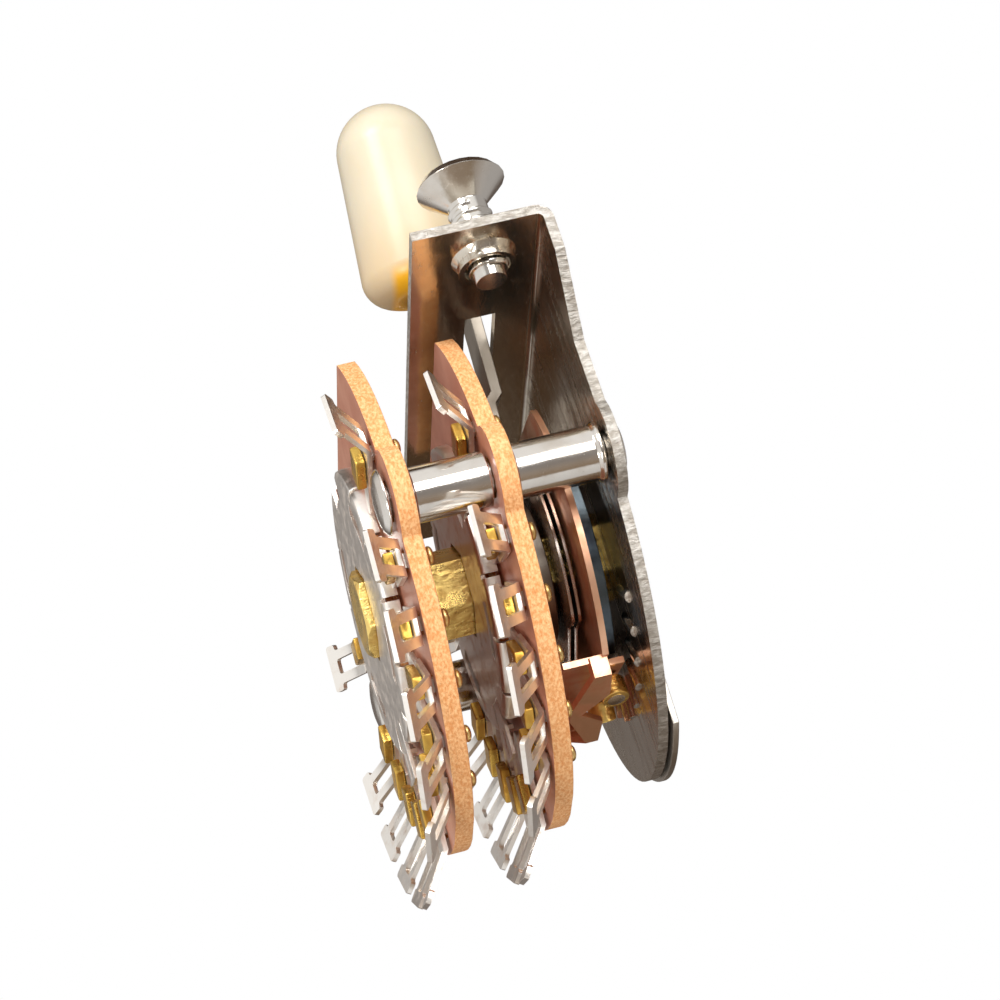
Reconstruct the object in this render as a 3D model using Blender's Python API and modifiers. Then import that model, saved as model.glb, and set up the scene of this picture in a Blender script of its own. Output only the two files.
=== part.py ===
"""Five-position lever switch with two rotary wafers.

The bracket's flange lies in the plane Z = 0 and is the face that the switch is fixed by.
X runs along the flange, Y runs from the front wafer to the bracket's wall, Z points up
past the lever's tip. The origin is on the flange's top face, on the strip of metal in
front of the slot, halfway between the two screws. Lengths are in metres.
"""
import math

import bmesh
import bpy
from mathutils import Matrix, Vector

MM = 0.001

# Gaps: between pieces at rest, between turning pieces, and round a pin in its hole
SEAT_GAP = 0.3 * MM
RUN_GAP = 0.3 * MM
PIN_GAP = 0.3 * MM

# Bracket, folded from sheet
SHEET = 0.8 * MM
FLANGE_LENGTH = 50.4 * MM
FLANGE_WIDTH = 11.0 * MM
FLANGE_FRONT_Y = -2.2 * MM
BEND_RADIUS = 0.5 * MM
WALL_END_DEPTH = 4.2 * MM
WALL_WAIST_X = 21.1 * MM
WALL_WAIST_DEPTH = 10.1 * MM
WALL_DISC_RADIUS = 18.2 * MM
WALL_EAR_RADIUS = 3.9 * MM

# Slot and the tapped holes on the flange's centre line
SLOT_LINE_Y = 3.54 * MM
SLOT_HALF_LENGTH = 11.6 * MM
SLOT_WIDTH = 2.5 * MM
SCREW_SPACING = 41.3 * MM
BOSS_WALL = 0.45 * MM
BOSS_FLARE = 0.5 * MM
BOSS_DEPTH = 1.1 * MM

# Mounting screws
THREAD_RADIUS = 1.55 * MM
HEAD_RADIUS = 3.55 * MM
HEAD_RIM_Z = 5.75 * MM
HEAD_CONE_HEIGHT = 1.9 * MM
HEAD_DOME_HEIGHT = 1.3 * MM
DOG_RADIUS = 1.25 * MM
DOG_LENGTH = 0.9 * MM
SCREW_TIP_Z = -3.1 * MM
RECESS_LENGTH = 3.6 * MM
RECESS_WIDTH = 0.8 * MM
RECESS_DEPTH = 1.5 * MM

# Shaft, wafers and the rivets that hold them
SHAFT_Z = -18.2 * MM
SHAFT_FLATS = 6.35 * MM
SHAFT_FRONT_Y = -11.0 * MM
SHAFT_BACK_STUB = 2.7 * MM
SHAFT_CHAMFER = 0.35 * MM
WAFER_THICKNESS = 1.5 * MM
WAFER_RADIUS = 20.0 * MM
WAFER_TOP_ABOVE_SHAFT = 15.4 * MM
WAFER_EAR_RADIUS = 4.0 * MM
WAFER_HOLE_RADIUS = 9.3 * MM
REAR_SPACE = 7.3 * MM
MID_SPACE = 6.4 * MM
RIVET_X = 18.4 * MM
RIVET_RADIUS = 1.3 * MM
RIVET_HEAD_RADIUS = 2.6 * MM
RIVET_HEAD_HEIGHT = 0.8 * MM
RIVET_FOOT_RADIUS = 2.0 * MM
RIVET_FOOT_HEIGHT = 0.35 * MM
TUBE_RADIUS = 2.15 * MM
TUBE_COLLAR_RADIUS = 2.35 * MM
TUBE_COLLAR_LENGTH = 0.6 * MM

# Terminals: six on each side of both wafers, one above the rivet and five below it
TERMINAL_PITCH = 15.0
TERMINAL_SHEET = 0.4 * MM
FINGER_WIDTH = 1.6 * MM
PAD_LENGTH = 4.2 * MM
PAD_WIDTH = 2.6 * MM
BEND_INSIDE_RIM = 0.2 * MM
LUG_LENGTH = 4.6 * MM
LUG_ANGLE = 33.0
LEGS_WIDTH = 2.9 * MM
WINDOW_WIDTH = 1.3 * MM
HEAD_BAR_WIDTH = 4.0 * MM
HEAD_BAR_DEPTH = 1.1 * MM
TAB_INSIDE_BEND = 1.6 * MM
TAB_WIDTH = 1.1 * MM
TAB_THICKNESS = 0.5 * MM
TAB_PROUD = 0.5 * MM

# Rotors in the wafers
ROTOR_BOSS_RADIUS = 8.0 * MM
CONTACT_SHEET = 0.4 * MM
CONTACT_RADIUS = 11.6 * MM
CONTACT_DEPTH = 1.3 * MM
CONTACT_EDGE_RADIUS = 0.5 * MM
CONTACT_NOTCH_DEPTH = 2.2 * MM
CONTACT_SPLIT_ANGLE = 22.0
CONTACT_WINDOW_WIDTH = 1.3 * MM
CONTACT_WINDOW_INSIDE_RIM = 1.7 * MM
CONTACT_WINDOW_SPREAD = 30.0
CONTACT_WINDOW_ANGLES = (-35.0, 35.0, 145.0, 215.0)
CONTACT_SLIT_WIDTH = 0.35 * MM
CONTACT_SLIT_DEPTH = 1.1 * MM
CONTACT_SLIT_ANGLES = (-61.0, -35.0, -9.0, 17.0, 43.0, 137.0, 163.0, 189.0, 215.0, 241.0)
TONGUE_BEYOND_RIM = 2.5 * MM
TONGUE_ANGLE = 14.0
TONGUE_SLOT_WIDTH = 0.7 * MM
TONGUE_THINNED = 0.1 * MM

# Lever: five positions, and the one it rests in
DETENT_STEP = 12.5
REST_LEAN = 12.5
LEVER_SHEET = 0.9 * MM
LEVER_WIDTH = 5.0 * MM
LEVER_HUB_RADIUS = 5.7 * MM
LEVER_NECK_Y = 4.05 * MM
LEVER_TIP_Y = 1.0 * MM
LOWER_JOG_R = 14.6 * MM
UPPER_JOG_HEIGHT = 2.0 * MM
JOG_BELOW_TIP = 0.7 * MM
BLADE_IN_TIP = 10.1 * MM

# Tip that is pressed on the lever
TIP_BOTTOM_R = 24.4 * MM
TIP_LENGTH = 16.8 * MM
TIP_BOTTOM_RADIUS = 4.8 * MM
TIP_TOP_RADIUS = 4.1 * MM
TIP_EDGE_RADIUS = 2.2 * MM
TIP_MOUTH_DEPTH = 1.0 * MM
TIP_MOUTH_SPREAD = 0.5 * MM

# Index mechanism between the rear wafer and the wall
COLLAR_RADIUS = 4.6 * MM
COLLAR_LENGTH = 1.6 * MM
COLLAR_GROOVE = 0.35 * MM
SPRING_SHEET = 0.25 * MM
SPRING_RADIUS = 9.2 * MM
SPRING_WIDTH = 9.0 * MM
SPRING_FOLD_Z = -5.8 * MM
SPRING_FOOT_Z = -9.0 * MM
SPRING_FOOT_SET = 0.9 * MM
CARRIER_SHEET = 0.5 * MM
CARRIER_RADIUS = 13.7 * MM
CARRIER_TOP_Z = 10.9 * MM
CARRIER_FOLD_Z = -9.9 * MM
CARRIER_FLANGE_Y = 3.1 * MM
FOLD_HALF_LENGTH = 9.1 * MM
SHELF_HALF_LENGTH = 6.4 * MM
SHELF_RIM = 0.3 * MM
YOKE_R = 13.3 * MM
YOKE_NOTCH_REACH = 3.0 * MM
YOKE_FRONT = 3.1 * MM
YOKE_MIDDLE_FRONT = 1.7 * MM
YOKE_MIDDLE_BACK = 0.7 * MM
YOKE_END_FRONT = 1.0 * MM
WASHER_RADIUS = 10.2 * MM
WASHER_THICKNESS = 1.1 * MM
REAR_PLATE_SHEET = 0.5 * MM
REAR_PLATE_HUB_RADIUS = 8.0 * MM
REAR_PLATE_RADIUS = 18.5 * MM
REAR_PLATE_SPREAD = 30.0
REAR_PLATE_HUB_DROP = 20.0
CLIP_RADIUS = 5.6 * MM
CLIP_SHEET = 0.6 * MM

# Rollers, and the ridges that they drop between
ROLLER_RADIUS = 1.1 * MM
ROLLER_INNER_R = 11.2 * MM
ROLLER_OUTER_R = 12.9 * MM
ROLLER_PIN_RADIUS = 0.45 * MM
ROLLER_PIN_INNER_R = 9.8 * MM
RIDGES = 9
RIDGE_HEIGHT = 0.3 * MM
RIDGE_WIDTH = 1.0 * MM
RIDGE_INNER_R = 10.6 * MM
RIDGE_OUTER_R = 13.2 * MM

# Places along Y that follow from the sizes above
WALL_BACK_Y = FLANGE_FRONT_Y + FLANGE_WIDTH
WALL_FRONT_Y = WALL_BACK_Y - SHEET
REAR_WAFER_BACK_Y = WALL_FRONT_Y - REAR_SPACE
REAR_WAFER_FRONT_Y = REAR_WAFER_BACK_Y - WAFER_THICKNESS
FRONT_WAFER_BACK_Y = REAR_WAFER_FRONT_Y - MID_SPACE
FRONT_WAFER_FRONT_Y = FRONT_WAFER_BACK_Y - WAFER_THICKNESS
COLLAR_FRONT_Y = REAR_WAFER_BACK_Y + SEAT_GAP
LEVER_HUB_Y = COLLAR_FRONT_Y + COLLAR_LENGTH + SEAT_GAP + LEVER_SHEET / 2
FRONT_SPRING_Y = LEVER_HUB_Y + LEVER_SHEET / 2 + SEAT_GAP + SPRING_SHEET / 2
REAR_SPRING_Y = FRONT_SPRING_Y + SPRING_SHEET + SEAT_GAP
CARRIER_Y = REAR_SPRING_Y + SPRING_SHEET / 2 + SEAT_GAP + CARRIER_SHEET / 2
WASHER_Y = CARRIER_Y + CARRIER_SHEET / 2 + SEAT_GAP + WASHER_THICKNESS / 2
ROLLER_Y = WALL_FRONT_Y - RIDGE_HEIGHT - SEAT_GAP - ROLLER_RADIUS
REAR_PLATE_Y = WALL_BACK_Y + RUN_GAP + REAR_PLATE_SHEET / 2
CLIP_Y = REAR_PLATE_Y + REAR_PLATE_SHEET / 2 + SEAT_GAP + CLIP_SHEET / 2
SHAFT_BACK_Y = WALL_BACK_Y + SHAFT_BACK_STUB

# Distances from the shaft's axis that follow from the sizes above
FINGER_INNER_R = CONTACT_RADIUS + RUN_GAP
BEND_R = WAFER_RADIUS - BEND_INSIDE_RIM
PAD_INNER_R = BEND_R - PAD_LENGTH
TAB_R = BEND_R - TAB_INSIDE_BEND
UPPER_JOG_R = TIP_BOTTOM_R - JOG_BELOW_TIP - UPPER_JOG_HEIGHT
BLADE_END_R = TIP_BOTTOM_R + BLADE_IN_TIP
SHAFT_CORNER_RADIUS = SHAFT_FLATS / math.sqrt(3)
HUB_HOLE_FLATS = SHAFT_FLATS + 2 * PIN_GAP
ROLLER_ANGLE = 1.5 * DETENT_STEP
TERMINALS_BELOW = int((90.0 - TERMINAL_PITCH / 2) // TERMINAL_PITCH)
CIRCLE_STEPS = 40


def start_empty_scene():
    """Remove what the scene holds and make the two collections."""
    for thing in list(bpy.data.objects):
        bpy.data.objects.remove(thing)
    for name in ("pickup_selector_switch", "cutters"):
        collection = bpy.data.collections.get(name) or bpy.data.collections.new(name)
        if name not in bpy.context.scene.collection.children:
            bpy.context.scene.collection.children.link(collection)


def material(name, colour, roughness, metallic):
    """Return a plain Principled material, made once for each name."""
    found = bpy.data.materials.get(name)
    if found:
        return found
    made = bpy.data.materials.new(name)
    made.use_nodes = True
    shader = made.node_tree.nodes["Principled BSDF"]
    shader.inputs["Base Color"].default_value = (*colour, 1.0)
    shader.inputs["Roughness"].default_value = roughness
    shader.inputs["Metallic"].default_value = metallic
    return made


def nickel():
    return material("nickel_plated_steel", (0.62, 0.58, 0.52), 0.22, 1.0)


def blued_steel():
    return material("blued_steel", (0.08, 0.10, 0.12), 0.4, 1.0)


def brass():
    return material("brass", (0.72, 0.50, 0.16), 0.3, 1.0)


def bronze():
    return material("phosphor_bronze", (0.80, 0.46, 0.32), 0.25, 1.0)


def silver():
    return material("silver_plated_brass", (0.78, 0.76, 0.72), 0.25, 1.0)


def phenolic():
    return material("phenolic_board", (0.55, 0.28, 0.18), 0.7, 0.0)


def ivory():
    return material("ivory_plastic", (0.93, 0.85, 0.66), 0.35, 0.0)


def add_object(name, mesh, look):
    """Put a mesh in the switch's collection under its own name."""
    thing = bpy.data.objects.new(name, mesh)
    bpy.data.collections["pickup_selector_switch"].objects.link(thing)
    mesh.materials.clear()
    mesh.materials.append(look)
    return thing


def arc(centre_x, centre_z, radius, start, end, steps):
    """Points of an arc in the XZ plane, angles in degrees from +X towards +Z."""
    points = []
    for i in range(steps + 1):
        angle = math.radians(start + (end - start) * i / steps)
        points.append((centre_x + radius * math.cos(angle), centre_z + radius * math.sin(angle)))
    return points


def mirrored(half):
    """Close an outline whose half runs from its top to its bottom on the +X side."""
    return half + [(-x, z) for x, z in reversed(half)]


def hexagon(flats):
    """Corners of a hexagon with two flats square to X."""
    return arc(0.0, 0.0, flats / math.sqrt(3), 30.0, 330.0, 5)


def plate_mesh(name, outline, thickness, middle_y, holes=()):
    """A flat sheet in the XZ plane: an outline and its holes, filled and extruded along Y."""
    curve = bpy.data.curves.new(name, "CURVE")
    curve.dimensions = "2D"
    curve.fill_mode = "BOTH"
    curve.extrude = thickness / 2
    for loop in (outline, *holes):
        spline = curve.splines.new("POLY")
        spline.points.add(len(loop) - 1)
        for point, (x, z) in zip(spline.points, loop):
            point.co = (x, z, 0.0, 1.0)
        spline.use_cyclic_u = True
    guide = bpy.data.objects.new(name + "_outline", curve)
    bpy.data.collections["cutters"].objects.link(guide)
    bpy.context.view_layer.update()
    evaluated = guide.evaluated_get(bpy.context.evaluated_depsgraph_get())
    mesh = bpy.data.meshes.new_from_object(evaluated)
    mesh.name = name
    bpy.data.objects.remove(guide)
    stand_up = Matrix.Translation((0.0, middle_y, 0.0)) @ Matrix.Rotation(math.pi / 2, 4, "X")
    mesh.transform(stand_up)
    edit_mesh(mesh, lambda bm: bmesh.ops.remove_doubles(bm, verts=bm.verts, dist=1e-7))
    return mesh


def edit_mesh(mesh, change):
    """Run one change on a mesh's bmesh, and leave its faces pointing out."""
    bm = bmesh.new()
    bm.from_mesh(mesh)
    change(bm)
    bmesh.ops.recalc_face_normals(bm, faces=bm.faces)
    bm.to_mesh(mesh)
    bm.free()


def box_mesh(name, x_span, y_span, z_span):
    """A box between two values on each axis."""
    mesh = bpy.data.meshes.new(name)
    spans = (x_span, y_span, z_span)
    size = [high - low for low, high in spans]
    middle = [(high + low) / 2 for low, high in spans]
    place = Matrix.Translation(middle) @ Matrix.Diagonal((*size, 1.0))
    edit_mesh(mesh, lambda bm: bmesh.ops.create_cube(bm, size=1.0, matrix=place))
    return mesh


def rod_mesh(name, radius, start, end, steps, end_radius=None):
    """A cylinder between two points, or a cone where its end has a radius of its own."""
    mesh = bpy.data.meshes.new(name)
    start, end = Vector(start), Vector(end)
    turn = (end - start).to_track_quat("Z", "Y").to_matrix().to_4x4()
    place = Matrix.Translation((start + end) / 2) @ turn
    length = (end - start).length
    edit_mesh(mesh, lambda bm: bmesh.ops.create_cone(
        bm, cap_ends=True, segments=steps, radius1=radius, radius2=end_radius or radius, depth=length,
        matrix=place))
    return mesh


def turned_mesh(name, profile, steps, place):
    """Turn a profile of (radius, height) points, given from its top down, about Z."""
    mesh = bpy.data.meshes.new(name)
    points = [Vector((radius, 0.0, height)) for radius, height in profile]

    def build(bm):
        verts = [bm.verts.new(point) for point in points]
        edges = [bm.edges.new(pair) for pair in zip(verts, verts[1:])]
        bmesh.ops.spin(bm, geom=verts + edges, cent=(0, 0, 0), axis=(0, 0, 1),
                       angle=2 * math.pi, steps=steps, use_merge=True)
        bmesh.ops.remove_doubles(bm, verts=bm.verts, dist=1e-7)
        bmesh.ops.transform(bm, matrix=place, verts=bm.verts)

    edit_mesh(mesh, build)
    return mesh


def along_y(x, y, z):
    """Place a shape that was made along Z so that it runs along +Y from a point."""
    return Matrix.Translation((x, y, z)) @ Matrix.Rotation(-math.pi / 2, 4, "X")


def cutter(name, mesh):
    """A hidden helper object for a Boolean."""
    tool = bpy.data.objects.new(name, mesh)
    bpy.data.collections["cutters"].objects.link(tool)
    tool.hide_render = True
    tool.display_type = "WIRE"
    return tool


def combined(mesh, operation, tools):
    """Apply Booleans with a list of meshes, one after the other, and return the new mesh."""
    body = bpy.data.objects.new(mesh.name + "_work", mesh)
    bpy.data.collections["cutters"].objects.link(body)
    helpers = [cutter(mesh.name + "_tool", tool) for tool in tools]
    for helper in helpers:
        change = body.modifiers.new(helper.name, "BOOLEAN")
        change.operation = operation
        change.object = helper
    bpy.context.view_layer.update()
    evaluated = body.evaluated_get(bpy.context.evaluated_depsgraph_get())
    result = bpy.data.meshes.new_from_object(evaluated)
    result.name = mesh.name
    for helper in (body, *helpers):
        bpy.data.objects.remove(helper)
    return result


def smooth(thing, angle=35.0):
    """Shade round faces smooth and keep edges sharper than the angle."""
    thing.data.shade_smooth()
    thing.data.set_sharp_from_angle(angle=math.radians(angle))


def ear_half_angle(disc_radius, ear_radius, ear_distance):
    """Angle at the disc's centre where an ear's circle leaves the disc's edge."""
    cosine = (ear_distance ** 2 + disc_radius ** 2 - ear_radius ** 2) / (2 * ear_distance * disc_radius)
    return math.degrees(math.acos(cosine))


def ear_arc(disc_radius, ear_radius, ear_distance, steps):
    """The ear's own arc, about (ear_distance, 0), from its upper to its lower end."""
    half = ear_half_angle(disc_radius, ear_radius, ear_distance)
    rise = disc_radius * math.sin(math.radians(half))
    run = disc_radius * math.cos(math.radians(half)) - ear_distance
    turn = math.degrees(math.atan2(rise, run))
    return arc(ear_distance, 0.0, ear_radius, turn, -turn, steps)


def lever_axis():
    """Empty on the shaft's axis that carries all that turns with the lever."""
    axis = bpy.data.objects.new("lever_axis", None)
    axis.empty_display_size = 5 * MM
    axis.location = (0.0, 0.0, SHAFT_Z)
    axis.rotation_euler = (0.0, math.radians(REST_LEAN), 0.0)
    bpy.data.collections["pickup_selector_switch"].objects.link(axis)
    return axis


def wall_outline():
    """The bracket seen from the front: flange ends, waist, rivet ears and the round lower part."""
    ear = ear_arc(WALL_DISC_RADIUS, WALL_EAR_RADIUS, RIVET_X, 14)
    ear = [(x, SHAFT_Z + z) for x, z in ear if x > WALL_WAIST_X or z < 0.0]
    half_angle = ear_half_angle(WALL_DISC_RADIUS, WALL_EAR_RADIUS, RIVET_X)
    lower = arc(0.0, SHAFT_Z, WALL_DISC_RADIUS, -half_angle, -90.0, 18)[1:]
    half = [(FLANGE_LENGTH / 2, 0.0), (FLANGE_LENGTH / 2, -WALL_END_DEPTH),
            (WALL_WAIST_X, -WALL_WAIST_DEPTH)]
    return mirrored(half + ear + lower[:-1])


def folded_section():
    """The bracket's L-shaped section in (Y, Z), with the bend's inner and outer arcs."""
    outer = BEND_RADIUS + SHEET
    corner_y = WALL_BACK_Y - outer
    bottom = SHAFT_Z - WALL_DISC_RADIUS - SHEET
    points = [(FLANGE_FRONT_Y, -SHEET), (FLANGE_FRONT_Y, 0.0)]
    points += arc(corner_y, -outer, outer, 90.0, 0.0, 6)
    points += [(WALL_BACK_Y, bottom), (WALL_FRONT_Y, bottom)]
    points += arc(corner_y, -outer, BEND_RADIUS, 0.0, 90.0, 6)
    return points


def ridge_mesh(angle):
    """One rounded ridge on the wall's front face, lying along a radius and rooted in the sheet."""
    half = RIDGE_WIDTH / 2
    round_radius = (RIDGE_HEIGHT ** 2 + half ** 2) / (2 * RIDGE_HEIGHT)
    spread = math.degrees(math.asin(half / round_radius))
    outline = arc(0.0, RIDGE_HEIGHT - round_radius, round_radius, 90.0 - spread, 90.0 + spread, 6)
    outline += [(-half, -SHEET / 2), (half, -SHEET / 2)]
    length = RIDGE_OUTER_R - RIDGE_INNER_R
    mesh = plate_mesh("ridge", outline, length, RIDGE_INNER_R + length / 2)
    lay_flat = Matrix.Rotation(math.pi / 2, 4, "X")
    swing = Matrix.Rotation(math.radians(90.0 - angle), 4, "Y")
    mesh.transform(Matrix.Translation((0.0, WALL_FRONT_Y, SHAFT_Z)) @ swing @ lay_flat)
    edit_mesh(mesh, lambda bm: None)
    return mesh


def make_bracket():
    """The folded bracket with its slot, tapped bosses, rivet holes, shaft hole and ridges."""
    section = plate_mesh("bracket", folded_section(), FLANGE_LENGTH, 0.0)
    section.transform(Matrix.Rotation(math.pi / 2, 4, "Z"))
    section.transform(Matrix.Scale(-1.0, 4, (1.0, 0.0, 0.0)))
    edit_mesh(section, lambda bm: None)
    reach = FLANGE_WIDTH + 4 * SHEET
    prism = plate_mesh("outline", wall_outline(), reach, FLANGE_FRONT_Y + FLANGE_WIDTH / 2)
    mesh = combined(section, "INTERSECT", [prism])

    screw_xs = (-SCREW_SPACING / 2, SCREW_SPACING / 2)
    hole_radius = THREAD_RADIUS + PIN_GAP
    foot = hole_radius + BOSS_WALL
    bosses = []
    for x in screw_xs:
        root, waist, rim = [(x, SLOT_LINE_Y, z) for z in (-SHEET / 2, -SHEET - BOSS_DEPTH / 2, -SHEET - BOSS_DEPTH)]
        bosses.append(rod_mesh("boss_flare", foot + BOSS_FLARE, root, waist, 24, foot))
        bosses.append(rod_mesh("boss", foot, root, rim, 20))
    first = -90.0 - DETENT_STEP * (RIDGES - 1) / 2
    ridges = [ridge_mesh(first + DETENT_STEP * i) for i in range(RIDGES)]
    mesh = combined(mesh, "UNION", bosses + ridges)

    cuts = [rod_mesh("screw_hole", hole_radius, (x, SLOT_LINE_Y, SHEET),
                     (x, SLOT_LINE_Y, -SHEET - 2 * BOSS_DEPTH), 24) for x in screw_xs]
    slot_y = (SLOT_LINE_Y - SLOT_WIDTH / 2, SLOT_LINE_Y + SLOT_WIDTH / 2)
    cuts.append(box_mesh("slot", (-SLOT_HALF_LENGTH, SLOT_HALF_LENGTH), slot_y, (-2 * SHEET, SHEET)))
    for x in (-RIVET_X, RIVET_X):
        cuts.append(rod_mesh("rivet_hole", RIVET_RADIUS + PIN_GAP, (x, WALL_FRONT_Y - SHEET, SHAFT_Z),
                             (x, WALL_BACK_Y + SHEET, SHAFT_Z), 20))
    cuts.append(rod_mesh("shaft_hole", SHAFT_CORNER_RADIUS + RUN_GAP, (0.0, WALL_FRONT_Y - SHEET, SHAFT_Z),
                         (0.0, WALL_BACK_Y + SHEET, SHAFT_Z), 32))
    bracket = add_object("bracket", combined(mesh, "DIFFERENCE", cuts), nickel())
    smooth(bracket, 25.0)


def make_screw(name, x):
    """Oval-head screw with a cross recess and a dog point, standing in its tapped boss."""
    under_head = HEAD_RIM_Z - HEAD_CONE_HEIGHT
    dome = [(HEAD_RADIUS * math.sin(math.radians(a)),
             HEAD_RIM_Z + HEAD_DOME_HEIGHT * math.cos(math.radians(a))) for a in (0, 30, 60, 90)]
    dome[0] = (0.0, HEAD_RIM_Z + HEAD_DOME_HEIGHT)
    profile = dome + [(THREAD_RADIUS, under_head), (THREAD_RADIUS, SCREW_TIP_Z + DOG_LENGTH),
                      (DOG_RADIUS, SCREW_TIP_Z + DOG_LENGTH), (DOG_RADIUS, SCREW_TIP_Z), (0.0, SCREW_TIP_Z)]
    mesh = turned_mesh(name, profile, 24, Matrix.Translation((x, SLOT_LINE_Y, 0.0)))
    top = HEAD_RIM_Z + 2 * HEAD_DOME_HEIGHT
    floor = HEAD_RIM_Z + HEAD_DOME_HEIGHT - RECESS_DEPTH
    half_long, half_wide = RECESS_LENGTH / 2, RECESS_WIDTH / 2
    bars = [box_mesh("recess", (x - a, x + a), (SLOT_LINE_Y - b, SLOT_LINE_Y + b), (floor, top))
            for a, b in ((half_long, half_wide), (half_wide, half_long))]
    screw = add_object(name, combined(mesh, "DIFFERENCE", bars), nickel())
    smooth(screw)


def wafer_outline():
    """Round board with a flat top and an ear round each rivet."""
    flat = math.degrees(math.asin(WAFER_TOP_ABOVE_SHAFT / WAFER_RADIUS))
    ear = ear_half_angle(WAFER_RADIUS, WAFER_EAR_RADIUS, RIVET_X)
    half = arc(0.0, 0.0, WAFER_RADIUS, flat, ear, 7)[:-1]
    half += ear_arc(WAFER_RADIUS, WAFER_EAR_RADIUS, RIVET_X, 10)
    half += arc(0.0, 0.0, WAFER_RADIUS, -ear, -90.0, 14)[1:-1]
    return [(x, SHAFT_Z + z) for x, z in mirrored(half)]


def terminal_angles():
    """Angles of the twelve terminals, in degrees from +X towards +Z, named by side and row."""
    rows = [1.0] + [-float(i) for i in range(1, TERMINALS_BELOW + 1)]
    near = [(f"near_{i + 1}", row * TERMINAL_PITCH) for i, row in enumerate(rows)]
    far = [(f"far_{i + 1}", 180.0 - row * TERMINAL_PITCH) for i, row in enumerate(rows)]
    return near + far


def make_wafer(name, back_y):
    """Phenolic board with the rotor's hole, the rivet holes and a slot for each terminal's tab."""
    middle = back_y - WAFER_THICKNESS / 2
    centre_hole = arc(0.0, SHAFT_Z, WAFER_HOLE_RADIUS, 0.0, 360.0, CIRCLE_STEPS)[:-1]
    rivet_holes = [arc(x, SHAFT_Z, RIVET_RADIUS + PIN_GAP, 0.0, 360.0, 16)[:-1] for x in (-RIVET_X, RIVET_X)]
    tab_holes = []
    for _, angle in terminal_angles():
        turn = Matrix.Rotation(math.radians(angle), 2)
        half_u = TAB_THICKNESS / 2 + PIN_GAP
        half_s = TAB_WIDTH / 2 + PIN_GAP
        corners = [(TAB_R + u, s) for u, s in ((-half_u, -half_s), (half_u, -half_s),
                                               (half_u, half_s), (-half_u, half_s))]
        turned = [turn @ Vector(corner) for corner in corners]
        tab_holes.append([(point.x, SHAFT_Z + point.y) for point in turned])
    mesh = plate_mesh(name, wafer_outline(), WAFER_THICKNESS, middle, [centre_hole, *rivet_holes, *tab_holes])
    add_object(name, mesh, phenolic())


def terminal_outline():
    """Flat blank of a terminal: finger, pad, two legs and the head bar, radius along X."""
    end = BEND_R + LUG_LENGTH
    bar = end - HEAD_BAR_DEPTH
    finger, pad, legs, head = FINGER_WIDTH / 2, PAD_WIDTH / 2, LEGS_WIDTH / 2, HEAD_BAR_WIDTH / 2
    tip = arc(FINGER_INNER_R + finger, 0.0, finger, 180.0, 90.0, 2)
    return tip + [(PAD_INNER_R, finger), (PAD_INNER_R, pad), (BEND_R, legs), (bar, legs), (bar, head), (end, head)]


def terminal_mesh():
    """One terminal, on the +X side, with its sheet's back at Y = 0 and its lug bent forward."""
    upper = terminal_outline()
    outline = upper + [(x, -s) for x, s in reversed(upper) if s > 0.0]
    window_end = BEND_R + LUG_LENGTH - HEAD_BAR_DEPTH
    half_window = WINDOW_WIDTH / 2
    window = [(BEND_R + 0.2 * MM, -half_window), (window_end, -half_window),
              (window_end, half_window), (BEND_R + 0.2 * MM, half_window)]
    mesh = plate_mesh("terminal", outline, TERMINAL_SHEET, -TERMINAL_SHEET / 2, [window])
    lift = Matrix.Translation((BEND_R, 0.0, 0.0)) @ Matrix.Rotation(math.radians(-LUG_ANGLE), 4, "Z")
    lift = lift @ Matrix.Translation((-BEND_R, 0.0, 0.0))

    def bend(bm):
        bmesh.ops.bisect_plane(bm, geom=bm.verts[:] + bm.edges[:] + bm.faces[:], dist=1e-7,
                               plane_co=(BEND_R, 0.0, 0.0), plane_no=(1.0, 0.0, 0.0))
        lug = [vert for vert in bm.verts if vert.co.x > BEND_R + 0.01 * MM]
        bmesh.ops.transform(bm, matrix=lift, verts=lug)

    edit_mesh(mesh, bend)
    tab_end = SEAT_GAP + WAFER_THICKNESS + TAB_PROUD
    tab = box_mesh("tab", (TAB_R - TAB_THICKNESS / 2, TAB_R + TAB_THICKNESS / 2),
                   (-TERMINAL_SHEET / 2, tab_end), (-TAB_WIDTH / 2, TAB_WIDTH / 2))
    return combined(mesh, "UNION", [tab])


def make_terminals(wafer, front_y):
    """Twelve terminals round one wafer, all sharing one mesh."""
    mesh = terminal_mesh()
    for name, angle in terminal_angles():
        terminal = add_object(f"terminal_{wafer}_{name}", mesh, silver())
        terminal.location = (0.0, front_y - SEAT_GAP, SHAFT_Z)
        terminal.rotation_euler = (0.0, -math.radians(angle), 0.0)


def make_rotor(axis, name, back_y):
    """Phenolic disc that turns in the wafer's hole, with a boss that carries the contact."""
    contact_foot = back_y - WAFER_THICKNESS - RUN_GAP
    boss_front = contact_foot - CONTACT_DEPTH + CONTACT_SHEET + SEAT_GAP
    disc = [(WAFER_HOLE_RADIUS - RUN_GAP, 0.0), (WAFER_HOLE_RADIUS - RUN_GAP, -WAFER_THICKNESS),
            (ROTOR_BOSS_RADIUS, -WAFER_THICKNESS), (ROTOR_BOSS_RADIUS, boss_front - back_y)]
    profile = [(0.0, 0.0), *disc, (0.0, boss_front - back_y)]
    mesh = turned_mesh(name, profile, CIRCLE_STEPS, along_y(0.0, back_y, 0.0))
    hole = plate_mesh("hex_hole", hexagon(HUB_HOLE_FLATS), 4 * WAFER_THICKNESS, back_y - WAFER_THICKNESS)
    rotor = add_object(name, combined(mesh, "DIFFERENCE", [hole]), phenolic())
    rotor.parent = axis
    smooth(rotor)
    return contact_foot


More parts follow.
